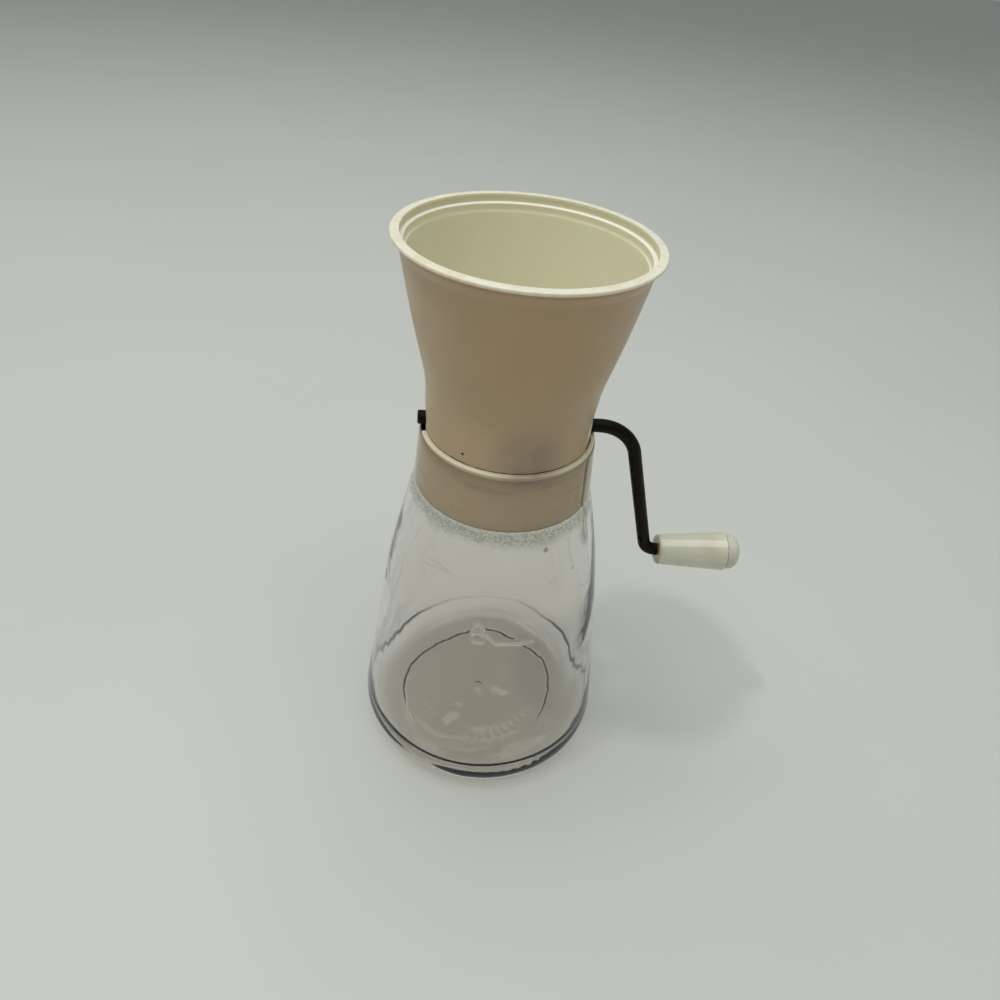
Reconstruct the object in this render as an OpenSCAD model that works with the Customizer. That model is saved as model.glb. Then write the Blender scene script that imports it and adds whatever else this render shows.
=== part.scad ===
// Hand-cranked grinder: a funnel-shaped hopper with a bent wire crank that
// plugs into the neck of a glass catch jar.
// Frame: origin at the centre of the jar's foot, Z up along the jar's axis,
// +X towards the crank.

/* [Glass jar] */
// Height of the jar up to its lip
jar_h = 121.4; // [117:0.1:125]
// Radius of the jar where its base is widest
base_r = 42; // [40:0.5:44]
// Rounding between the wall and the foot
heel_r = 9; // [7:0.5:9.5]
// Lean of the lower wall towards the axis, in degrees
wall_tilt = 7; // [5.5:0.1:8]
// Height at which the wall starts to curve in
shoulder_z = 55; // [49:1:61]
// Height at which the curved wall meets the neck
neck_z = 104.3; // [101:0.1:106]
// Outer radius of the neck where it meets the wall
neck_foot_r = 26.7; // [26.2:0.1:27.2]
// Inner radius of the lip
lip_bore_r = 24; // [23.8:0.1:24.3]
// Thickness of the glass at the lip
lip_t = 1.4; // [1.3:0.1:1.6]
// Thickness of the glass in the wall
glass_t = 2.2; // [1.8:0.1:2.6]
// Thickness of the glass floor
floor_t = 6; // [4:0.5:8]
// Rounding between the floor and the wall inside
floor_r = 7; // [5:0.5:9]
// Radius of the hollow under the foot
punt_r = 27; // [22:1:29]
// Depth of the hollow under the foot
punt_h = 1.4; // [0.8:0.2:2]

/* [Hopper] */
// Thickness of the hopper's wall
wall_t = 1.7; // [1.4:0.1:1.8]
// Height of the throat's narrowest level above the lip
waist_h = 10.8; // [9:0.2:12]
// Bend radius of the flare above the throat
flare_r = 46; // [40:1:60]
// Lean of the wall where the flare ends, in degrees
flare_tilt = 14; // [12:0.5:16]
// Lean of the wall under the rim, in degrees
bell_tilt = 9.7; // [8:0.1:10.5]
// Height of the funnel from the narrowest level to the rim's underside
funnel_h = 40.6; // [37:0.2:45]
// Overhang of the rim past the wall below it
rim_overhang = 2.4; // [2:0.1:3]
// Thickness of the rim's edge
rim_t = 1.1; // [0.9:0.1:1.4]
// Width of the rim's flat top
rim_flat = 2.4; // [2:0.1:2.6]
// Depth of the upper lid seat
seat_depth_1 = 2.1; // [1.8:0.1:2.4]
// Depth of the lower lid seat
seat_depth_2 = 2.4; // [1.8:0.1:2.6]
// Width of the upper lid seat's ledge
seat_step = 1.1; // [0.8:0.1:1.2]
// Rounding of the lid seats' inner edges
seat_round = 0.5; // [0.3:0.05:0.6]
// Width of the shoulder that stands on the glass lip
flange_w = 1.1; // [0.8:0.05:1.15]
// Thickness of that shoulder
flange_t = 1.2; // [1:0.1:1.5]
// Rounding of that shoulder's upper edge
flange_round = 0.7; // [0.4:0.05:0.8]
// Length of the skirt inside the neck
skirt_h = 16.6; // [14:0.2:18]

/* [Crank] */
// Diameter of the crank wire
wire_d = 4; // [3.6:0.1:4.2]
// Gap between the shaft and the glass lip below it
shaft_lift = 0.4; // [0.3:0.1:1]
// Length of the shaft's far end past the axis
shaft_far = 26; // [24.5:0.5:30]
// Distance from the axis to the corner of the arm
arm_x = 36.1; // [35:0.1:40]
// Drop of the arm from the shaft to the handle
arm_drop = 47.3; // [42:0.1:52]
// Outward lean of the arm, in degrees
arm_splay = 16.4; // [12:0.2:18]
// Bend radius of the arm's upper corner
bend_top_r = 12.8; // [9:0.1:13.2]
// Bend radius of the arm's lower corner
bend_low_r = 4.6; // [4.2:0.1:6]

/* [Rotor] */
// Number of rotor blades
blade_count = 8; // [8]
// Distance between neighbouring blades
blade_pitch = 4.4; // [4.2:0.1:4.5]
// Thickness of a blade
blade_t = 1; // [0.8:0.1:1.2]
// Radius of the blades' sweep
blade_r = 10.5; // [9.5:0.1:11]
// Width of a blade's arms
blade_w = 3.2; // [2.6:0.1:3.6]
// Turn between neighbouring blades, in degrees
blade_turn = 45; // [15:15:60]

/* [Combs] */
// Thickness of the comb plates
comb_t = 1.2; // [1:0.1:1.4]
// Width of a tooth of the coarse comb
coarse_tooth_w = 1.4; // [1.2:0.1:1.6]
// Width of a tooth of the fine comb
fine_tooth_w = 2.2; // [2:0.1:2.2]
// Diameter of the comb rivets
rivet_d = 2; // [1.8:0.1:2.2]

/* [Handle] */
// Diameter of the grip at the arm's end
grip_d_near = 10; // [9.4:0.1:10.6]
// Diameter of the grip at its wide end
grip_d_far = 12.9; // [12.4:0.1:13.4]
// Length of the grip
grip_len = 22.8; // [20:0.2:26]
// Diameter of the end cap
cap_d = 11.8; // [11.4:0.1:12.2]
// Length of the end cap
cap_len = 5.1; // [4.6:0.1:6]

/* [Fits] */
// Radial gap between the hopper's skirt and the neck
plug_gap = 0.3; // [0.3:0.05:0.5]
// Radial gap between the throat ring and the hopper
ring_gap = 0.15; // [0.1:0.05:0.25]
// Side gap between the bearing bosses and the hopper's openings
boss_gap = 0.3; // [0.2:0.05:0.4]
// Radial running gap between the shaft and its bearings
shaft_gap = 0.08; // [0.05:0.01:0.1]
// Radial running gap between the wire and the grip
grip_gap = 0.1; // [0.06:0.01:0.1]
// Radial gap of the pieces that are pushed onto the wire
push_gap = 0.02; // [0.01:0.01:0.05]
// End gap of the pieces that turn against a face
end_gap = 0.3; // [0.2:0.05:0.4]

/* [Hidden] */
$fn = 96;
arc_steps = 8;

// Glass jar
lip_r = lip_bore_r + lip_t;
lip_round = lip_t * 0.45;
heel_c = [base_r - heel_r, heel_r];
wall_foot = heel_c + heel_r * [cos(wall_tilt), sin(wall_tilt)];
shoulder = [wall_foot[0] - (shoulder_z - wall_foot[1]) * tan(wall_tilt), shoulder_z];
neck_foot = [neck_foot_r, neck_z];
chord = neck_foot - shoulder;
chord_tilt = atan2(-chord[0], chord[1]);
shoulder_r = norm(chord) / (2 * sin(chord_tilt - wall_tilt));
shoulder_c = shoulder - shoulder_r * [cos(wall_tilt), sin(wall_tilt)];
shoulder_end = 2 * chord_tilt - wall_tilt;

// Hopper
throat_r = lip_bore_r;
skirt_r = lip_bore_r - plug_gap;
skirt_z = jar_h - skirt_h;
bore_r = throat_r - wall_t;
flange_r = lip_bore_r + flange_w;
waist_z = jar_h + waist_h;
flare_c = [throat_r + flare_r, waist_z];
flare_end = flare_c - flare_r * [cos(flare_tilt), -sin(flare_tilt)];
body_top_z = waist_z + funnel_h;
bell_r = (body_top_z - flare_end[1]) / (sin(flare_tilt) - sin(bell_tilt));
bell_c = flare_end - bell_r * [cos(flare_tilt), -sin(flare_tilt)];
body_top_r = bell_c[0] + bell_r * cos(bell_tilt);
rim_r = body_top_r + rim_overhang;
rim_z = body_top_z + seat_depth_1 + seat_depth_2;
seat_r_1 = rim_r - rim_flat;
seat_r_2 = seat_r_1 - seat_step;
collar_t = 0.9;
collar_r = seat_r_1 + collar_t;
collar_slope_h = 2.2;

// Shaft and arm
wire_r = wire_d / 2;
shaft_z = jar_h + shaft_lift + wire_r;
bearing_r = wire_r + shaft_gap;
corner_turn = 90 - arm_splay;
bend_top_c = [arm_x - bend_top_r * tan(corner_turn / 2), shaft_z - bend_top_r];
arm_top = bend_top_c + bend_top_r * [cos(arm_splay), sin(arm_splay)];
low_corner = [arm_x + arm_drop * tan(arm_splay), shaft_z - arm_drop];
bend_low_tan = bend_low_r * tan(corner_turn / 2);
arm_low = low_corner + bend_low_tan * [-sin(arm_splay), cos(arm_splay)];
bend_low_c = arm_low + bend_low_r * [cos(arm_splay), sin(arm_splay)];
arm_len = norm(arm_low - arm_top);
bend_swell = 0.02;
wire_chamfer = 0.3;
rod_lap = 0.15;
grip_z = shaft_z - arm_drop;
grip_x = bend_low_c[0] + end_gap;

// Openings for the shaft in the hopper
arch_r = 12.3;
arch_rise = 2.2;
notch_r = 5;
notch_rise = 1;

// Throat ring
ring_r = bore_r - ring_gap;
ring_t = 1.75;
ring_bore_r = ring_r - ring_t;
ring_foot_t = 1.8;
ring_cover = 1.5;
ring_top_z = shaft_z + arch_rise + arch_r + ring_cover;
ring_lead_w = 0.6;
ring_lead_h = 2;
boss_inset = 0.15;
boss_r = skirt_r - boss_inset;
boss_drop = 7.5;
small_boss_drop = 1;
pad_r = 4.5;
pad_h = 1.6;
pad_x = ring_bore_r - pad_h;

// Rotor and its rings
retainer_t = 1.2;
retainer_r = 3.8;
hub_r = 3.4;

// Combs and rivets
comb_z = shaft_z - comb_t / 2;
comb_tip_gap = 1;
comb_tip_y = wire_r + comb_tip_gap;
comb_root_gap = 1.7;
comb_root_y = blade_r + comb_root_gap;
comb_edge_r = ring_bore_r - end_gap;
comb_overhang = 1.8;
shelf_y = comb_root_y + comb_overhang;
shelf_t = 4;
rivet_x = 6;
rivet_y = 17;
rivet_head_r = rivet_d;
rivet_head_t = 0.8;

// Handle
grip_bore_r = wire_r + grip_gap;
grip_end_x = grip_x + grip_len;
grip_edge = 0.9;
grip_lip = 0.3;
cap_overlap = 1.1;
cap_edge = 0.2;
cap_flat = 0.3;
cap_dome = 0.62 * cap_len;
spigot_gap = 0.05;
pocket_r = cap_d / 2 - cap_overlap;
pocket_len = 6;
nut_rim_gap = 0.6;
nut_r = pocket_r - nut_rim_gap;
nut_t = 1.2;
nut_x = grip_end_x - pocket_len + end_gap;
wire_tip = 1.4;
tip_gap = 0.8;
wire_end_x = nut_x + nut_t + wire_tip;
spigot_len = pocket_len - end_gap - nut_t - wire_tip - tip_gap;

// Points along an arc round c, from angle a0 to angle a1, without the points before number first
function arc(c, r, a0, a1, first = 0) = [
    for (i = [first:arc_steps])
        c + r * [cos(a0 + (a1 - a0) * i / arc_steps), sin(a0 + (a1 - a0) * i / arc_steps)]
];

// Wall of the funnel, moved in from the outer face by inset
function funnel_wall(inset) = concat(
    arc(flare_c, flare_r + inset, 180, 180 - flare_tilt),
    arc(bell_c, bell_r - inset, -flare_tilt, -bell_tilt, 1)
);

// Solid turned about the X axis from a profile of [distance along X, radius]
module turned_x(profile) {
    rotate([0, 90, 0])
        rotate_extrude()
            polygon([for (p = profile) [p[1], p[0]]]);
}

// Straight rod or bore along X from x0 to x1
module rod_x(r, x0, x1) {
    translate([x0, 0, 0])
        rotate([0, 90, 0])
            cylinder(r = r, h = x1 - x0);
}

// Outline of an opening with a round top, seen along X
module arch_2d(r, foot_z, centre_z) {
    translate([0, centre_z])
        circle(r);
    translate([-r, foot_z])
        square([2 * r, centre_z - foot_z]);
}

// Prism of that outline from x0 to x1
module arch_x(r, foot_z, centre_z, x0, x1) {
    translate([x0, 0, 0])
        rotate([90, 0, 90])
            linear_extrude(x1 - x0)
                arch_2d(r, foot_z, centre_z);
}

module jar_outside() {
    translate(heel_c)
        circle(heel_r);
    polygon(concat(
        [[0, 0], [heel_c[0], 0], heel_c, wall_foot],
        arc(shoulder_c, shoulder_r, wall_tilt, shoulder_end),
        [[lip_r, jar_h - lip_round], [lip_r - lip_round, jar_h], [0, jar_h]]
    ));
    translate([lip_r - lip_round, jar_h - lip_round])
        circle(lip_round);
}

module jar_inside() {
    inner_foot = wall_foot - glass_t * [cos(wall_tilt), sin(wall_tilt)];
    lean = tan(wall_tilt);
    floor_c_r = inner_foot[0] + (inner_foot[1] - floor_t - floor_r) * lean - floor_r / cos(wall_tilt);
    floor_c = [floor_c_r, floor_t + floor_r];
    translate(floor_c)
        circle(floor_r);
    polygon(concat(
        [[0, floor_t], [floor_c_r, floor_t], floor_c],
        [floor_c + floor_r * [cos(wall_tilt), sin(wall_tilt)]],
        arc(shoulder_c, shoulder_r - glass_t, wall_tilt, shoulder_end),
        [[lip_bore_r, jar_h], [lip_bore_r, jar_h + 1], [0, jar_h + 1]]
    ));
}

module glass_jar() {
    color([0.86, 0.93, 0.9, 0.35])
        rotate_extrude()
            difference() {
                jar_outside();
                jar_inside();
                translate([0, -1])
                    square([punt_r, punt_h + 1]);
            }
}

module hopper_outside() {
    polygon(concat(
        [[0, skirt_z], [skirt_r, skirt_z], [skirt_r, jar_h], [flange_r, jar_h]],
        arc([flange_r - flange_round, jar_h + flange_t - flange_round], flange_round, 0, 90),
        [[throat_r, jar_h + flange_t]],
        funnel_wall(0),
        [[collar_r, body_top_z + collar_slope_h], [collar_r, rim_z - rim_t]],
        [[rim_r - rim_t / 2, rim_z - rim_t], [rim_r - rim_t / 2, rim_z], [0, rim_z]]
    ));
    translate([rim_r - rim_t / 2, rim_z - rim_t / 2])
        circle(rim_t / 2);
}

module hopper_inside() {
    polygon(concat(
        [[0, skirt_z - 1], [bore_r, skirt_z - 1]],
        funnel_wall(wall_t),
        [[seat_r_2, body_top_z]],
        arc([seat_r_2 + seat_round, rim_z - seat_depth_1 - seat_round], seat_round, 180, 90),
        [[seat_r_1, rim_z - seat_depth_1], [seat_r_1, rim_z + 1], [0, rim_z + 1]]
    ));
}

module hopper() {
    color([0.9, 0.87, 0.78])
        difference() {
            rotate_extrude()
                difference() {
                    hopper_outside();
                    hopper_inside();
                }
            arch_x(arch_r, skirt_z - 1, shaft_z + arch_rise, 0, rim_r);
            arch_x(notch_r, skirt_z - 1, shaft_z + notch_rise, -rim_r, 0);
        }
}

module ring_body() {
    rotate_extrude()
        polygon([
            [ring_bore_r, skirt_z - ring_foot_t], [skirt_r, skirt_z - ring_foot_t],
            [skirt_r, skirt_z], [ring_r, skirt_z], [ring_r, ring_top_z],
            [ring_bore_r + ring_lead_w, ring_top_z], [ring_bore_r, ring_top_z - ring_lead_h]
        ]);
}

module ring_bosses() {
    intersection() {
        union() {
            arch_x(arch_r - boss_gap, skirt_z - ring_foot_t, shaft_z - boss_drop, 0, boss_r);
            arch_x(notch_r - boss_gap, skirt_z - ring_foot_t, shaft_z - small_boss_drop, -boss_r, 0);
        }
        translate([0, 0, skirt_z - ring_foot_t])
            cylinder(r = boss_r, h = ring_top_z - skirt_z);
    }
}

module ring_shelves() {
    intersection() {
        translate([0, 0, comb_z - shelf_t])
            cylinder(r = ring_bore_r + ring_t / 2, h = shelf_t);
        for (side = [-1, 1])
            translate([-ring_r, side > 0 ? shelf_y : -ring_r, comb_z - shelf_t])
                cube([2 * ring_r, ring_r - shelf_y, shelf_t]);
    }
}

module ring_pads() {
    intersection() {
        translate([0, 0, skirt_z])
            cylinder(r = ring_bore_r + ring_t / 2, h = ring_top_z - skirt_z);
        translate([0, 0, shaft_z])
            union() {
                rod_x(pad_r, pad_x, ring_r);
                rod_x(pad_r, -ring_r, -pad_x);
            }
    }
}

module grinder_ring() {
    color([0.84, 0.81, 0.72])
        difference() {
            union() {
                ring_body();
                difference() {
                    ring_bosses();
                    translate([0, 0, skirt_z - ring_foot_t - 1])
                        cylinder(r = ring_bore_r + ring_t / 2, h = ring_top_z - skirt_z + ring_foot_t + 2);
                }
                ring_shelves();
                ring_pads();
            }
            translate([0, 0, shaft_z])
                rod_x(bearing_r, -rim_r, rim_r);
            rivet_places()
                cylinder(d = rivet_d + 2 * push_gap, h = 3 * shelf_t, center = true);
        }
}

module rivet_places() {
    for (side = [-1, 1], end = [-1, 1])
        translate([end * rivet_x, side * rivet_y, comb_z])
            children();
}

// Comb plate on the +Y side: a bar that follows the ring, with one tooth between each pair of blades
module comb(tooth_w) {
    difference() {
        translate([0, 0, comb_z])
            linear_extrude(comb_t) {
                intersection() {
                    circle(comb_edge_r);
                    translate([-ring_r, comb_root_y])
                        square([2 * ring_r, ring_r]);
                }
                for (i = [1:blade_count - 1])
                    translate([(i - blade_count / 2) * blade_pitch - tooth_w / 2, comb_tip_y])
                        square([tooth_w, comb_root_y - comb_tip_y + 1]);
            }
        rivet_places()
            cylinder(d = rivet_d + 2 * push_gap, h = 3 * comb_t, center = true);
    }
}

module coarse_comb() {
    color([0.62, 0.62, 0.6])
        comb(coarse_tooth_w);
}

module fine_comb() {
    color([0.62, 0.62, 0.6])
        mirror([0, 1, 0])
            comb(fine_tooth_w);
}

module comb_rivets() {
    color([0.7, 0.7, 0.68])
        rivet_places() {
            translate([0, 0, -shelf_t - rivet_head_t])
                cylinder(r = rivet_head_r, h = rivet_head_t);
            translate([0, 0, -shelf_t - rivet_head_t / 2])
                cylinder(d = rivet_d, h = shelf_t + comb_t + rivet_head_t);
            translate([0, 0, comb_t])
                cylinder(r = rivet_head_r, h = rivet_head_t);
        }
}

// Bent stretch of the wire in the XZ plane
module wire_bend(c, r, a0, a1) {
    translate([c[0], 0, c[1]])
        rotate([90, 0, 0])
            rotate([0, 0, a0])
                rotate_extrude(angle = a1 - a0)
                    translate([r, 0])
                        circle(wire_r + bend_swell);
}

module crank() {
    color([0.13, 0.1, 0.08])
        union() {
            translate([0, 0, shaft_z])
                turned_x([
                    [-shaft_far, 0], [-shaft_far, wire_r - wire_chamfer], [-shaft_far + wire_chamfer, wire_r],
                    [bend_top_c[0] + rod_lap, wire_r], [bend_top_c[0] + rod_lap, 0]
                ]);
            wire_bend(bend_top_c, bend_top_r, arm_splay, 90);
            translate([arm_top[0], 0, arm_top[1]])
                rotate([0, 180 - arm_splay, 0])
                    translate([0, 0, -rod_lap])
                        cylinder(r = wire_r, h = arm_len + 2 * rod_lap);
            wire_bend(bend_low_c, bend_low_r, 180 + arm_splay, 270);
            translate([0, 0, grip_z])
                rod_x(wire_r, bend_low_c[0] - rod_lap, wire_end_x);
        }
}

module blade(i) {
    color([0.55, 0.54, 0.52])
        translate([(i - (blade_count + 1) / 2) * blade_pitch - blade_t / 2, 0, shaft_z])
            rotate([i * blade_turn, 0, 0])
                rotate([90, 0, 90])
                    linear_extrude(blade_t)
                        difference() {
                            union() {
                                circle(hub_r);
                                intersection() {
                                    circle(blade_r);
                                    square([2 * blade_r, blade_w], center = true);
                                }
                            }
                            circle(wire_r + push_gap);
                        }
}

// Ring pushed onto the wire, with its thickness running from x0 towards +X
module wire_ring(r, t, x0, z) {
    translate([0, 0, z])
        difference() {
            rod_x(r, x0, x0 + t);
            rod_x(wire_r + push_gap, x0 - 1, x0 + t + 1);
        }
}

module retaining_ring_left() {
    color([0.6, 0.59, 0.56])
        wire_ring(retainer_r, retainer_t, -pad_x + end_gap, shaft_z);
}

module retaining_ring_right() {
    color([0.6, 0.59, 0.56])
        wire_ring(retainer_r, retainer_t, pad_x - end_gap - retainer_t, shaft_z);
}

module push_nut() {
    color([0.6, 0.59, 0.56])
        wire_ring(nut_r, nut_t, nut_x, grip_z);
}

module handle_grip() {
    near_r = grip_d_near / 2;
    far_r = grip_d_far / 2;
    color([0.96, 0.95, 0.92])
        translate([0, 0, grip_z])
            difference() {
                turned_x(concat(
                    [[grip_x, 0]],
                    arc([grip_x + grip_edge, near_r - grip_edge], grip_edge, 180, 90),
                    [[grip_end_x - grip_lip, far_r], [grip_end_x, far_r - grip_lip], [grip_end_x, 0]]
                ));
                rod_x(grip_bore_r, grip_x - 1, grip_end_x);
                rod_x(pocket_r, grip_end_x - pocket_len, grip_end_x + 1);
            }
}

module handle_cap() {
    cap_r = cap_d / 2;
    color([0.93, 0.94, 0.9])
        translate([0, 0, grip_z])
            turned_x(concat(
                [[grip_end_x - spigot_len, 0], [grip_end_x - spigot_len, pocket_r - spigot_gap]],
                [[grip_end_x, pocket_r - spigot_gap], [grip_end_x, cap_r - cap_edge]],
                [[grip_end_x + cap_edge, cap_r]],
                [for (i = [0:arc_steps]) [
                    grip_end_x + cap_len - cap_dome * (1 - sin(90 * i / arc_steps)),
                    cap_r * (cap_flat + (1 - cap_flat) * cos(90 * i / arc_steps))
                ]],
                [[grip_end_x + cap_len, 0]]
            ));
}

glass_jar();
hopper();
grinder_ring();
coarse_comb();
fine_comb();
comb_rivets();
crank();
for (i = [1:blade_count])
    blade(i);
retaining_ring_left();
retaining_ring_right();
push_nut();
handle_grip();
handle_cap();
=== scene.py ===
import bpy
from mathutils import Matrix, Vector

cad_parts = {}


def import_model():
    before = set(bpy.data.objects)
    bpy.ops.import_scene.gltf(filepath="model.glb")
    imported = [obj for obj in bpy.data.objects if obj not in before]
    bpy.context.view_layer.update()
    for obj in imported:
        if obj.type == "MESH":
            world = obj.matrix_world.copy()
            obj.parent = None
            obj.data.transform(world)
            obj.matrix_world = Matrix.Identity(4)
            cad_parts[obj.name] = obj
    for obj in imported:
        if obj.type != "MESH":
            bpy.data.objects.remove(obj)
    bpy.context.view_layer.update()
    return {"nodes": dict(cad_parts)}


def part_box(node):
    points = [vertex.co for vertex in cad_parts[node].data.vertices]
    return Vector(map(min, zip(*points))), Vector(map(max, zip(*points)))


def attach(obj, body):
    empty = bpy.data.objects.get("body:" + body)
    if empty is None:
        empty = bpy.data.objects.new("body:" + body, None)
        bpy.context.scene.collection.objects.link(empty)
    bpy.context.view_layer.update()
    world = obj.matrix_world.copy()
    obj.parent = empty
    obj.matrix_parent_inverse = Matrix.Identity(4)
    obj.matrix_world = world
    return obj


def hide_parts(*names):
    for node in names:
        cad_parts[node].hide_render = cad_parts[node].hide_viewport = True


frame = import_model()

import bpy, bmesh, math
from mathutils import Vector, Matrix

MM = 0.001
NODES = frame["nodes"]
scene = bpy.context.scene

CAM_AT = Vector((-0.02229, -0.18077, 0.23971))
CAM_YAW = math.radians(-7.07)
CAM_PITCH = math.radians(38.52)
CAM_ROLL = math.radians(6.64)
CAM_F = 749.5 / 1000


def make_camera():
    right = Vector((math.cos(CAM_YAW), math.sin(CAM_YAW), 0))
    ahead = Vector((-math.sin(CAM_YAW), math.cos(CAM_YAW), 0))
    up = Vector((0, 0, 1))
    look = math.cos(CAM_PITCH) * ahead - math.sin(CAM_PITCH) * up
    over = math.cos(CAM_PITCH) * up + math.sin(CAM_PITCH) * ahead
    x = math.cos(CAM_ROLL) * right + math.sin(CAM_ROLL) * over
    y = -math.sin(CAM_ROLL) * right + math.cos(CAM_ROLL) * over
    data = bpy.data.cameras.new("photo_camera")
    data.sensor_fit = "HORIZONTAL"
    data.sensor_width = 36
    data.lens = 36 * CAM_F
    data.clip_start, data.clip_end = 0.01, 50
    cam = bpy.data.objects.new("photo_camera", data)
    cam.matrix_world = Matrix.Translation(CAM_AT) @ Matrix((x, y, -look)).transposed().to_4x4()
    scene.collection.objects.link(cam)
    scene.camera = cam


make_camera()


class Tree:
    """A material's node tree with short calls."""

    def __init__(self, name):
        self.mat = bpy.data.materials.new(name)
        self.mat.use_nodes = True
        self.nt = self.mat.node_tree
        self.nt.nodes.clear()
        self.out = self.nt.nodes.new("ShaderNodeOutputMaterial")
        self.coords = self.nt.nodes.new("ShaderNodeTexCoord").outputs["Object"]

    def node(self, kind, **inputs):
        n = self.nt.nodes.new("ShaderNode" + kind)
        for key, value in inputs.items():
            if key.startswith("p_"):
                setattr(n, key[2:], value)
        for key, value in inputs.items():
            if key.startswith("p_"):
                continue
            by_number = key[0] == "i" and key[1:].isdigit()
            self.put(n.inputs[int(key[1:]) if by_number else key.replace("_", " ")], value)
        return n

    def put(self, socket, value):
        if isinstance(value, bpy.types.NodeSocket):
            self.nt.links.new(value, socket)
        elif isinstance(value, tuple) and len(value) == 3 and socket.type == "RGBA":
            socket.default_value = (*value, 1)
        else:
            socket.default_value = value

    def noise(self, scale, detail=3.0, rough=0.55, at=None):
        n = self.node("TexNoise", Vector=at or self.coords, Scale=scale, Detail=detail, Roughness=rough)
        return n.outputs["Fac"]

    def ramp(self, fac, *stops):
        n = self.node("ValToRGB", Fac=fac)
        e = n.color_ramp.elements
        while len(e) < len(stops):
            e.new(0.5)
        for k, (pos, col) in zip(e, stops):
            k.position = pos
            k.color = (col, col, col, 1) if isinstance(col, (int, float)) else (*col, 1)
        return n.outputs["Color"]

    def math(self, op, a, b=0.0, clamp=False):
        n = self.nt.nodes.new("ShaderNodeMath")
        n.operation = op
        n.use_clamp = clamp
        self.put(n.inputs[0], a)
        self.put(n.inputs[1], b)
        return n.outputs[0]

    def mix(self, fac, a, b, mode="MIX"):
        n = self.nt.nodes.new("ShaderNodeMix")
        n.data_type = "RGBA"
        n.blend_type = mode
        self.put(n.inputs[0], fac)
        self.put(n.inputs[6], a)
        self.put(n.inputs[7], b)
        return n.outputs[2]

    def range(self, v, a, b, c=0.0, d=1.0, smooth=True):
        n = self.nt.nodes.new("ShaderNodeMapRange")
        n.interpolation_type = "SMOOTHSTEP" if smooth else "LINEAR"
        for i, x in enumerate((v, a, b, c, d)):
            self.put(n.inputs[i], x)
        return n.outputs[0]

    def axis(self, name):
        n = self.node("SeparateXYZ", Vector=self.coords)
        return n.outputs[name]

    def radius(self):
        """Distance from the jar's axis."""
        n = self.node("VectorMath", p_operation="MULTIPLY", i0=self.coords, i1=(1, 1, 0))
        return self.node("VectorMath", p_operation="LENGTH", i0=n.outputs[0]).outputs["Value"]

    def spot(self, at, size):
        """1 inside a small soft spot at a point, else 0."""
        d = self.node("VectorMath", p_operation="DISTANCE", i0=self.coords, i1=at).outputs["Value"]
        return self.range(d, size * 0.5, size, 1.0, 0.0)

    def bump(self, height, distance, strength=1.0, normal=None):
        n = self.node("Bump", Height=height, Distance=distance, Strength=strength)
        if normal:
            self.put(n.inputs["Normal"], normal)
        return n.outputs["Normal"]

    def facing(self):
        """How far the surface looks away from the jar's axis, from -1 to 1."""
        out = self.node("VectorMath", p_operation="MULTIPLY", i0=self.coords, i1=(1, 1, 0)).outputs[0]
        out = self.node("VectorMath", p_operation="NORMALIZE", i0=out).outputs[0]
        normal = self.node("TexCoord").outputs["Normal"]
        return self.node("VectorMath", p_operation="DOT_PRODUCT", i0=normal, i1=out).outputs["Value"]

    def upward(self):
        return self.node("SeparateXYZ", Vector=self.node("TexCoord").outputs["Normal"]).outputs["Z"]

    def stretched(self, x, y, z):
        return self.node("VectorMath", p_operation="MULTIPLY", i0=self.coords, i1=(x, y, z)).outputs[0]

    def blot(self, at, size, fade=0.3):
        """1 in the middle of a soft patch, falling off to 0 at its size."""
        d = self.node("VectorMath", p_operation="DISTANCE", i0=self.coords, i1=at).outputs["Value"]
        return self.range(d, size * fade, size, 1.0, 0.0)

    def both(self, a, b):
        return self.math("MULTIPLY", a, b)

    def band(self, v, lo, hi, edge):
        return self.both(self.range(v, lo - edge, lo + edge), self.range(v, hi - edge, hi + edge, 1.0, 0.0))

    def surface(self, **inputs):
        n = self.node("BsdfPrincipled", **inputs)
        self.nt.links.new(n.outputs[0], self.out.inputs["Surface"])
        return n


def dress(obj, *mats):
    obj.data.materials.clear()
    for m in mats:
        obj.data.materials.append(m)


JAR_H = 121.4
SEAM_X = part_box("handle_grip")[1][0]
GRIP_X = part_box("handle_grip")[0][0]
GRIP_Z = (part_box("handle_grip")[0][2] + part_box("handle_grip")[1][2]) / 2
BROWN = (0.05, 0.028, 0.014)


HOPPER_SPECKS = (
    ((-0.0137, -0.0199, 0.1256), 0.0006), ((0.0280, 0.0135, 0.1741), 0.0005),
    ((-0.022, -0.022, 0.150), 0.0004),
)


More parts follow.
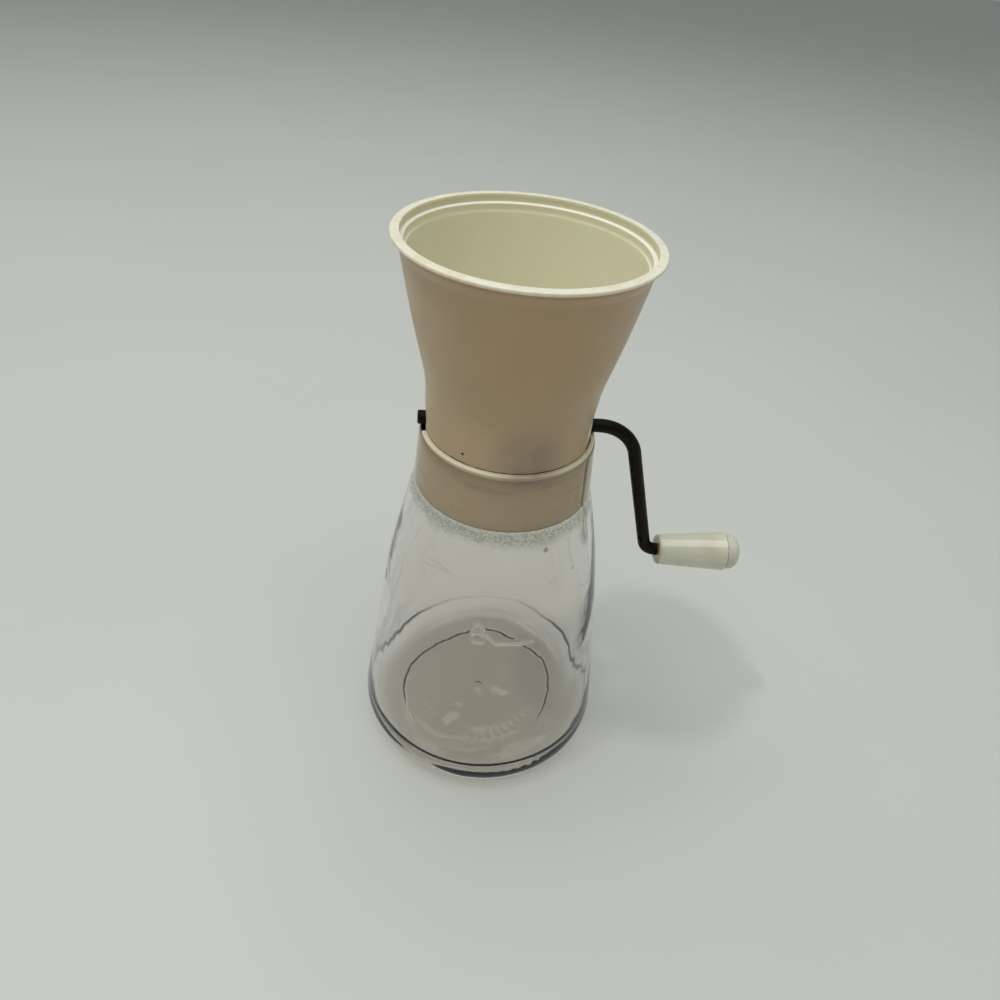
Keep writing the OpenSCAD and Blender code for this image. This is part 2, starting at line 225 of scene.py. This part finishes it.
def ivory(name):
    t = Tree(name)
    z, r, out, up = t.axis("Z"), t.radius(), t.facing(), t.upward()
    inner = t.range(out, -0.1, 0.15, 1.0, 0.0)
    top = t.range(up, 0.45, 0.8)
    cloud = t.range(t.noise(24, 3, 0.5), 0.35, 0.7)
    # Painted shade: the outside faces are a darker tan than the pale cream inside faces, for light coming
    # through the thin translucent wall.
    base = t.mix(t.both(cloud, 0.5), (0.545, 0.405, 0.25), (0.46, 0.325, 0.18))
    # Painted shade: a darker, browner patch on the front of the hopper.
    front = t.blot((0.004, -0.036, 0.158), 0.034, 0.1)
    base = t.mix(t.both(front, 0.4), base, (0.46, 0.30, 0.14))
    inside = t.mix(t.both(cloud, 0.4), (0.81, 0.785, 0.60), (0.77, 0.74, 0.55))
    base = t.mix(inner, base, inside)
    # Painted light: faces that look upward are paler, with some mottling.
    lit_pale = t.mix(t.range(t.noise(420, 4, 0.6), 0.4, 0.7), (0.84, 0.81, 0.68), (0.76, 0.72, 0.56))
    base = t.mix(top, base, lit_pale)
    # Painted shade: a darker band on the inside wall just under the rim.
    wall_shade = t.both(t.band(z, 0.1753, 0.1767, 0.0002), inner)
    base = t.mix(t.both(wall_shade, 0.5), base, (0.56, 0.54, 0.37))
    # Painted highlight: the upward faces of the inner ledges are lighter.
    lit_seat = t.both(t.range(up, 0.3, 0.7), t.range(z, 0.1768, 0.1765))
    base = t.mix(t.both(lit_seat, t.range(z, 0.165, 0.168)), base, (0.93, 0.915, 0.80))
    # Painted highlight: the rim's outer edge gets the pale lit colour.
    edge = t.both(t.range(z, 0.1760, 0.1764), t.range(out, 0.3, 0.6))
    base = t.mix(t.both(edge, 0.85), base, lit_pale)
    skirt = t.range(z, 0.1212, 0.1214, 1.0, 0.0)
    # Painted shade: dark vertical streaks on the skirt, where the glass neck refracts dark things.
    shade_streak = t.range(t.noise(1.0, 4, 0.6, t.stretched(60, 60, 420)), 0.5, 0.75)
    base = t.mix(t.both(skirt, 0.75), base, (0.60, 0.475, 0.31))
    base = t.mix(t.both(t.both(skirt, shade_streak), 0.4), base, (0.36, 0.24, 0.13))
    foot = t.both(t.band(z, 0.1212, 0.12262, 0.0001), t.range(r, 0.0242, 0.0244))
    base = t.mix(t.both(foot, 0.8), base, (0.64, 0.52, 0.35))
    glint = t.both(t.band(z, 0.12205, 0.12255, 0.00012), t.range(r, 0.0242, 0.0246))
    base = t.mix(t.both(glint, 0.9), base, (0.88, 0.80, 0.62))
    smudge = t.blot((0.004, -0.0245, 0.1268), 0.0135, 0.2)
    smudge = t.both(smudge, t.range(t.noise(160, 3), 0.3, 0.6, 0.6, 1.0))
    base = t.mix(t.both(smudge, 0.7), base, (0.30, 0.22, 0.18))
    speck = t.node("TexVoronoi", Vector=t.coords, Scale=170.0).outputs["Distance"]
    dots = t.both(t.range(speck, 0.02, 0.05, 1.0, 0.0), t.range(t.noise(55, 1), 0.6, 0.66))
    base = t.mix(t.both(dots, 0.6), base, (0.16, 0.10, 0.06))
    for at, size in HOPPER_SPECKS:
        base = t.mix(t.spot(at, size), base, (0.02, 0.012, 0.008))
    scratch = t.range(t.noise(1.0, 2, 0.5, t.stretched(900, 900, 90)), 0.7, 0.78)
    base = t.mix(t.both(scratch, 0.12), base, (0.9, 0.86, 0.7))
    wander = t.range(t.noise(300, 3), 0.3, 0.7, -0.00012, 0.00018)
    grime_z = t.math("ADD", z, wander)
    grime = t.both(t.band(grime_z, 0.12255, 0.12295, 0.00008), t.range(r, 0.0244, 0.0247, 1.0, 0.0))
    grime = t.both(grime, t.range(out, 0.2, 0.4))
    base = t.mix(t.both(grime, 0.95), base, BROWN)
    rough = t.range(t.noise(75, 3), 0.3, 0.7, 0.30, 0.42)
    rough = t.math("ADD", rough, t.both(grime, 0.4), True)
    chips = t.both(t.range(z, 0.1758, 0.1764), t.range(t.noise(700, 4, 0.65), 0.45, 0.7))
    relief = t.math("ADD", t.both(t.noise(900, 2), 0.25), chips)
    t.surface(
        Base_Color=base, Roughness=rough, IOR=1.5,
        Normal=t.bump(relief, 0.00012, 0.55),
        Subsurface_Weight=0.3, Subsurface_Scale=0.0025, Subsurface_Radius=(1.0, 0.62, 0.36),
    )
    return t.mat


def white_plastic(name, tint, shade):
    t = Tree(name)
    x = t.axis("X")
    base = t.mix(t.range(t.noise(95, 4), 0.42, 0.72, 0.0, 0.8), tint, shade)
    wire = t.node("VectorMath", p_operation="SUBTRACT", i0=t.coords, i1=(0, 0, GRIP_Z)).outputs[0]
    wire = t.node("VectorMath", p_operation="MULTIPLY", i0=wire, i1=(0, 1, 1)).outputs[0]
    wire = t.node("VectorMath", p_operation="LENGTH", i0=wire).outputs["Value"]
    wire = t.math("ADD", wire, t.range(t.noise(420, 3), 0.3, 0.7, -0.0008, 0.0008))
    halo = t.range(x, GRIP_X + 0.0004, GRIP_X + 0.0026, 1.0, 0.0)
    halo = t.both(halo, t.range(wire, 0.0028, 0.0052, 1.0, 0.0))
    base = t.mix(t.both(halo, 0.85), base, (0.20, 0.085, 0.035))
    lip = t.both(t.range(x, GRIP_X + 0.0002, GRIP_X + 0.003, 1.0, 0.0), t.range(t.noise(260, 3), 0.45, 0.65))
    base = t.mix(t.both(lip, 0.3), base, (0.45, 0.30, 0.16))
    seam_x = t.math("ADD", x, t.range(t.noise(900, 2), 0.3, 0.7, -0.00015, 0.00015))
    seam = t.band(seam_x, SEAM_X - 0.00022, SEAM_X + 0.00022, 0.00008)
    seam = t.both(seam, t.range(t.noise(520, 3, 0.6), 0.43, 0.52))
    base = t.mix(t.both(seam, 0.9), base, (0.09, 0.07, 0.04))
    pits = t.node("TexVoronoi", Vector=t.coords, Scale=420.0).outputs["Distance"]
    pits = t.both(t.range(pits, 0.05, 0.09, 1.0, 0.0), t.range(t.noise(120, 2), 0.6, 0.68))
    base = t.mix(t.both(pits, 0.5), base, (0.30, 0.24, 0.16))
    rough = t.range(t.noise(120, 3), 0.3, 0.7, 0.08, 0.15)
    t.surface(
        Base_Color=base, Roughness=t.math("ADD", rough, t.both(seam, 0.4), True), IOR=1.5,
        Normal=t.bump(t.math("SUBTRACT", t.both(t.noise(240, 2), 0.6), seam), 0.00006, 0.5),
        Subsurface_Weight=0.2, Subsurface_Scale=0.0015, Subsurface_Radius=(1.0, 0.8, 0.6),
        Coat_Weight=0.6, Coat_Roughness=0.04,
    )
    return t.mat


def dark_wire(name):
    t = Tree(name)
    patch = t.noise(230, 5, 0.65)
    base = t.ramp(
        patch,
        (0.35, (0.003, 0.0016, 0.0006)), (0.60, (0.007, 0.0036, 0.0014)), (0.78, (0.040, 0.017, 0.006)),
    )
    scale = t.node("TexVoronoi", Vector=t.coords, Scale=900.0).outputs["Distance"]
    t.surface(
        Base_Color=base, Metallic=0.0, Specular_IOR_Level=0.14,
        Roughness=t.range(patch, 0.35, 0.7, 0.24, 0.6), IOR=1.5,
        Normal=t.bump(t.math("ADD", t.noise(1200, 3), t.both(scale, 0.5)), 0.00008, 0.7),
    )
    return t.mat


def bare_steel(name):
    t = Tree(name)
    patch = t.noise(150, 4)
    base = t.mix(t.range(patch, 0.5, 0.75, 0.0, 0.7), (0.5, 0.49, 0.46), (0.2, 0.13, 0.08))
    grain = t.noise(1.0, 3, 0.6, t.stretched(2600, 500, 500))
    t.surface(
        Base_Color=base, Metallic=t.range(patch, 0.55, 0.8, 1.0, 0.4),
        Roughness=t.range(patch, 0.3, 0.7, 0.3, 0.6),
        Normal=t.bump(grain, 0.00003, 0.5),
    )
    return t.mat


MARK_H, MARK_HALF = 0.48, 0.56
MARK_RINGS = (((-6.0, 72.7), 1.45), ((-6.0, 69.2), 1.95))
GLASS_TINT = (0.925, 0.905, 0.89)
LAMP_TINT = (0.83, 0.815, 0.785)
GLASS_SPECKS = (
    ((0.01157, -0.02589, 0.0980), 0.0011), ((0.0214, -0.0222, 0.0878), 0.0006),
    ((0.0263, -0.0196, 0.0782), 0.0007),
)


def worn_mark(t):
    """1 on the strokes of the raised 8 and its level line, where years of handling have dulled the glass."""
    s = t.math("MULTIPLY", t.math("ADD", t.math("ARCTAN2", t.axis("Y"), t.axis("X")), math.pi / 2), t.radius())
    at = t.node("CombineXYZ", X=s, Y=t.axis("Z")).outputs[0]
    front = t.range(s, -0.012, -0.010)
    strokes = None
    for centre, ring in MARK_RINGS:
        gap = t.node("VectorMath", p_operation="DISTANCE", i0=at, i1=(centre[0] * MM, centre[1] * MM, 0)).outputs["Value"]
        gap = t.math("ABSOLUTE", t.math("SUBTRACT", gap, ring * MM))
        stroke = t.range(gap, MARK_HALF * MM * 0.45, MARK_HALF * MM, 1.0, 0.0)
        strokes = stroke if strokes is None else t.math("MAXIMUM", strokes, stroke)
    level = t.both(t.band(t.axis("Z"), 0.0670, 0.0678, 0.00015), t.band(s, -0.0004, 0.0106, 0.0002))
    return t.both(t.math("MAXIMUM", strokes, level), front)


def jar_glass(name):
    """Old pressed glass: wavy, with a dull band under the neck, smears and specks. Lamps shine through it."""
    t = Tree(name)
    z, out = t.axis("Z"), t.facing()
    fine = t.noise(1500, 3, 0.6)
    edge = t.math("ADD", z, t.range(t.noise(90, 3), 0.3, 0.7, -0.0010, 0.0010))
    band = t.both(t.range(edge, 0.0985, 0.1015), t.range(z, 0.1035, 0.1045, 1.0, 0.0))
    band = t.both(band, t.range(out, 0.1, 0.4))
    band = t.both(band, t.range(fine, 0.40, 0.62, 0.25, 1.0))
    smear = t.both(t.range(t.noise(42, 5, 0.6), 0.58, 0.8), t.range(z, 0.02, 0.03))
    line = t.math("ADD", z, t.range(t.noise(70, 1), 0.3, 0.7, -0.0012, 0.0012))
    drip = t.both(t.band(line, 0.0877, 0.0883, 0.0004), t.blot((-0.0185, -0.0245, 0.088), 0.0075, 0.4))
    tint = t.mix(t.both(band, 0.9), GLASS_TINT, (0.40, 0.41, 0.33))
    tint = t.mix(t.both(drip, 0.45), tint, (0.50, 0.48, 0.42))
    for at, size in GLASS_SPECKS:
        tint = t.mix(t.spot(at, size), tint, (0.22, 0.20, 0.17))
    rough = t.math("ADD", t.both(smear, 0.04), t.both(band, 0.28), True)
    rough = t.math("ADD", rough, t.both(drip, 0.12), True)
    worn = worn_mark(t)
    rough = t.math("ADD", rough, t.both(worn, 0.22), True)
    tint = t.mix(t.both(worn, 0.6), tint, (1.0, 1.0, 0.98))
    wave = t.bump(t.noise(55, 2), 0.0005, 0.30)
    grit = t.bump(fine, 0.0001, t.both(band, 0.5), wave)
    n = t.node(
        "BsdfPrincipled", Base_Color=tint, Roughness=rough, IOR=1.5, Transmission_Weight=1.0, Normal=grit,
    )
    clear = t.node("BsdfTransparent", Color=LAMP_TINT)
    path = t.node("LightPath")
    lamp = t.math("MAXIMUM", path.outputs["Is Shadow Ray"], path.outputs["Is Diffuse Ray"])
    both = t.node("MixShader", Fac=lamp, i1=n.outputs[0], i2=clear.outputs[0])
    t.nt.links.new(both.outputs[0], t.out.inputs["Surface"])
    return t.mat


def arc(c, r, a0, a1, n):
    turns = [math.radians(a0 + (a1 - a0) * i / n) for i in range(n + 1)]
    return [(c[0] + r * math.cos(a), c[1] + r * math.sin(a)) for a in turns]


def between(p, q, n):
    """The points inside the straight line from p to q that cut it into n parts."""
    return [(p[0] + (q[0] - p[0]) * k / n, p[1] + (q[1] - p[1]) * k / n) for k in range(1, n)]


BASE_R, HEEL_R, TILT, SHOULDER_Z, NECK_Z, NECK_FOOT_R = 42.0, 9.0, 7.0, 55.0, 104.3, 26.7
LIP_R, GLASS_T, FLOOR_T, FLOOR_R, PUNT_R, PUNT_H = 25.4, 2.2, 6.0, 7.0, 27.0, 1.4
NECK_BORE = 23.46  # laps the plastic in the neck a hair, so that it shows without an air film
SKIRT_Z = 104.8
LIP_ROUND = 0.63
MARK_Z = (64.0, 77.0)
MARK_AZ = (-107.0, -68.0)


def jar_profile():
    """The jar's section as (radius, height, face) in mm: under the foot, up the outside, down the inside."""
    tilt = math.radians(TILT)
    ct, st = math.cos(tilt), math.sin(tilt)
    heel = (BASE_R - HEEL_R, HEEL_R)
    foot = (heel[0] + HEEL_R * ct, heel[1] + HEEL_R * st)
    sh = (foot[0] - (SHOULDER_Z - foot[1]) * math.tan(tilt), SHOULDER_Z)
    ch = (NECK_FOOT_R - sh[0], NECK_Z - sh[1])
    lean = math.degrees(math.atan2(-ch[0], ch[1]))
    big = math.hypot(*ch) / (2 * math.sin(math.radians(lean - TILT)))
    c = (sh[0] - big * ct, sh[1] - big * st)
    end = 2 * lean - TILT

    under = [(0, PUNT_H + 0.35), (1.6, PUNT_H + 0.3), (2.0, PUNT_H + 0.05), (2.6, PUNT_H)]
    under += [(r, PUNT_H) for r in (6, 10, 14, 17.5, 18.5, 19.3, 20, 21.5, 23, 23.7, 24.5, PUNT_R - 0.8)]
    for k in range(1, 9):
        under.append((PUNT_R - 0.8 + 2.4 * k / 8, PUNT_H * (0.5 + 0.5 * math.cos(math.pi * k / 8))))
    under.append((31.0, 0.0))
    outside = arc(heel, HEEL_R, -90, TILT, 20)
    outside += between(foot, sh, 12)
    shoulder = arc(c, big, TILT, end, 22)
    fine = []
    for p, q in zip(shoulder, shoulder[1:]):
        inside_mark = q[1] > MARK_Z[0] and p[1] < MARK_Z[1]
        steps = max(1, int((q[1] - p[1]) / 0.32)) if inside_mark else 1
        fine += [p] + between(p, q, steps)
    outside += fine + [shoulder[-1]]
    neck = (NECK_FOOT_R, NECK_Z)
    lip = (LIP_R, JAR_H - LIP_ROUND)
    outside += between(neck, lip, 8) + arc((LIP_R - LIP_ROUND, JAR_H - LIP_ROUND), LIP_ROUND, 0, 90, 6)

    inn = (foot[0] - GLASS_T * ct, foot[1] - GLASS_T * st)
    fc = (inn[0] + (inn[1] - FLOOR_T - FLOOR_R) * math.tan(tilt) - FLOOR_R / ct, FLOOR_T + FLOOR_R)
    inside = [(r, FLOOR_T) for r in (0, 6, 12, 18, 24)] + arc(fc, FLOOR_R, -90, TILT, 16)
    a = arc(c, big - GLASS_T, TILT, end, 22)
    inside += between(inside[-1], a[0], 12) + a[:-1]
    bore, top = NECK_BORE, (NECK_BORE, JAR_H - 0.3)
    inside += [(bore + 0.35, SKIRT_Z - 1.6), (bore + 0.06, SKIRT_Z - 0.4), (bore, SKIRT_Z + 0.6)]
    inside += between(inside[-1], top, 6) + [top, (bore + 0.1, JAR_H - 0.08), (bore + 0.3, JAR_H)]
    rows = [(r, z, "under") for r, z in under] + [(r, z, "outside") for r, z in outside]
    return rows + [(r, z, "inside") for r, z in inside[::-1]]


def ring_gap(s, z, centre, radius):
    return abs(math.hypot(s - centre[0], z - centre[1]) - radius)


def line_gap(s, z, p, q):
    """Distance from (s, z) to the straight stroke from p to q."""
    dx, dz = q[0] - p[0], q[1] - p[1]
    k = max(0.0, min(1.0, ((s - p[0]) * dx + (z - p[1]) * dz) / (dx * dx + dz * dz)))
    return math.hypot(s - p[0] - k * dx, z - p[1] - k * dz)


def measure_mark(r, z, azimuth):
    """Height of the raised 8 and its level line at a point of the jar's front."""
    s = math.radians(azimuth + 90) * r
    gap = min(
        *(ring_gap(s, z, centre, ring) for centre, ring in MARK_RINGS),
        line_gap(s, z, (-3.4, 70.6), (-0.4, 67.6)), line_gap(s, z, (-0.4, 67.5), (10.6, 67.3)),
    )
    k = max(0.0, 1.0 - gap / MARK_HALF)
    return MARK_H * k * k * (3 - 2 * k)


def jar_shift(r, z, face, azimuth):
    """Waves of old pressed glass, the raised mark, and ribs under the base."""
    a = math.radians(azimuth)
    if face == "outside":
        calm = min(1.0, max(0.0, (z - 12) / 12)) * min(1.0, max(0.0, (100 - z) / 10))
        marked = MARK_Z[0] < z < MARK_Z[1] and MARK_AZ[0] < azimuth < MARK_AZ[1]
        mark = measure_mark(r, z, azimuth) if marked else 0.0
        return 0.1 * calm * (math.sin(3 * a + 0.09 * z) - 1) + mark, 0.0
    if face == "under":
        stamped = -158 < azimuth < -122 or -100 < azimuth < -38
        ribs = 0.12 * max(0.0, 1 - abs(r - 21.5) / 2.2) * (0.5 + 0.5 * math.cos(44 * a)) if stamped else 0.0
        skew = 1.1 * math.sin(2 * a + 0.7) + 0.5 * math.sin(5 * a) if 24.6 < r < 29.5 else 0.0
        return skew, -ribs
    calm = min(1.0, max(0.0, (96 - z) / 12))
    wave = 0.16 * math.sin(2 * a + 0.05 * z + 0.6) + 0.11 * math.sin(5 * a - 0.11 * z)
    sag = 0.35 * math.sin(2 * a + 0.9) * math.sin(min(r, 30) * 0.12) * min(1.0, max(0.0, (13 - z) / 6))
    return wave * calm * min(1.0, r / 20), sag


def azimuths():
    """Degrees round the jar, close together where the raised mark is."""
    steps, a = [], -180.0
    while a < 179.9:
        steps.append(a)
        a += 0.5 if MARK_AZ[0] - 1 <= a < MARK_AZ[1] + 1 else 2.0
    return steps


def lathe(name, rows, shift):
    """A closed body turned about Z from rows of (radius, height, face) that start and end on the axis."""
    bm = bmesh.new()
    turns = azimuths()
    rings = []
    for r, z, face in rows:
        if r == 0:
            rings.append([bm.verts.new((0, 0, z * MM))])
            continue
        ring = []
        for azimuth in turns:
            dr, dz = shift(r, z, face, azimuth)
            a = math.radians(azimuth)
            at = ((r + dr) * math.cos(a), (r + dr) * math.sin(a), z + dz)
            ring.append(bm.verts.new([v * MM for v in at]))
        rings.append(ring)
    for lo, hi in zip(rings, rings[1:]):
        for s in range(len(turns)):
            n = (s + 1) % len(turns)
            if len(lo) == 1:
                bm.faces.new((lo[0], hi[n], hi[s]))
            elif len(hi) == 1:
                bm.faces.new((lo[s], lo[n], hi[0]))
            else:
                bm.faces.new((lo[s], lo[n], hi[n], hi[s]))
    bmesh.ops.recalc_face_normals(bm, faces=bm.faces)
    me = bpy.data.meshes.new(name)
    bm.to_mesh(me)
    bm.free()
    me.shade_smooth()
    ob = bpy.data.objects.new(name, me)
    scene.collection.objects.link(ob)
    return ob


jar = lathe("jar_body", jar_profile(), jar_shift)
dress(jar, jar_glass("clear_glass"))
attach(jar, "jar")
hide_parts("glass_jar")



def collar_bridge():
    """The collar's low part under the crank, where the photo shows it going on round the lip."""
    lo_r, hi_r, lo_z, top_z, low_z = 23.9, 25.1, 121.45, 122.55, 121.68
    half, steps = 30.6, 40
    bm = bmesh.new()
    rings = []
    for k in range(steps + 1):
        azimuth = half * (2 * k / steps - 1)
        rise = min(1.0, max(0.0, (abs(azimuth) - 5.6) / 2.0))
        z = low_z + (top_z - low_z) * rise
        soft = 0.45 * rise + 0.08
        a = math.radians(azimuth)
        outer = ((hi_r, lo_z), (hi_r, z - soft), (hi_r - soft / 2, z - soft / 6), (hi_r - soft, z))
        section = ((lo_r, lo_z), *outer, (lo_r, z))
        rings.append([bm.verts.new((r * math.cos(a) * MM, r * math.sin(a) * MM, h * MM)) for r, h in section])
    sides = len(rings[0])
    for one, two in zip(rings, rings[1:]):
        for k in range(sides):
            n = (k + 1) % sides
            bm.faces.new((one[k], one[n], two[n], two[k]))
    bm.faces.new(rings[0])
    bm.faces.new(rings[-1])
    bmesh.ops.recalc_face_normals(bm, faces=bm.faces)
    me = bpy.data.meshes.new("collar_bridge")
    bm.to_mesh(me)
    bm.free()
    me.shade_smooth()
    ob = bpy.data.objects.new("collar_bridge", me)
    scene.collection.objects.link(ob)
    return ob


IVORY = ivory("ivory_plastic")
bridge = collar_bridge()
dress(bridge, IVORY)
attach(bridge, "head")
WHITE = white_plastic("white_plastic", (0.72, 0.71, 0.59), (0.64, 0.62, 0.47))
CAP = white_plastic("cap_plastic", (0.61, 0.625, 0.53), (0.55, 0.555, 0.44))
WIRE = dark_wire("dark_wire")
STEEL = bare_steel("bare_steel")
for node, mat in {
    "hopper": IVORY, "grinder_ring": IVORY, "crank": WIRE, "handle_grip": WHITE, "handle_cap": CAP,
}.items():
    dress(NODES[node], mat)
for name, ob in NODES.items():
    if name.startswith(("blade_", "retaining_", "coarse_", "fine_", "comb_", "push_")):
        dress(ob, STEEL)


def floor():
    t = Tree("floor_white")
    base = t.mix(t.range(t.noise(6, 4), 0.35, 0.7, 0.0, 0.3), (0.60, 0.62, 0.60), (0.56, 0.575, 0.555))
    t.surface(Base_Color=base, Roughness=0.55, Normal=t.bump(t.noise(180, 3), 0.0002, 0.15))
    me = bpy.data.meshes.new("floor")
    half, z = 6.0, -0.0002
    corners = [(x * half, y * half, z) for x, y in ((-1, -1), (1, -1), (1, 1), (-1, 1))]
    me.from_pydata(corners, [], [(0, 1, 2, 3)])
    ob = bpy.data.objects.new("floor", me)
    me.materials.append(t.mat)
    scene.collection.objects.link(ob)


def area(name, at, aim, size, power, colour=(1, 1, 1)):
    data = bpy.data.lights.new(name, "AREA")
    data.shape = "RECTANGLE"
    data.size, data.size_y = size
    data.energy = power
    data.color = colour
    ob = bpy.data.objects.new(name, data)
    ob.location = at
    ob.rotation_euler = (Vector(aim) - Vector(at)).to_track_quat("-Z", "Y").to_euler()
    scene.collection.objects.link(ob)


def world():
    w = bpy.data.worlds.new("studio")
    scene.world = w
    w.use_nodes = True
    bg = w.node_tree.nodes["Background"]
    bg.inputs["Color"].default_value = (0.84, 0.90, 0.86, 1)
    bg.inputs["Strength"].default_value = 0.32


floor()
world()
area("key", (-0.12, 0.02, 1.5), (0, 0.05, 0), (1.7, 1.4), 15.5, (1.0, 0.99, 0.95))
area("lamp", (-0.43, -0.10, 1.2), (0, 0, 0.1), (0.07, 0.05), 2.2, (1.0, 0.97, 0.92))
scene.view_settings.view_transform = "Standard"
scene.view_settings.look = "None"
scene.view_settings.exposure = 0.0
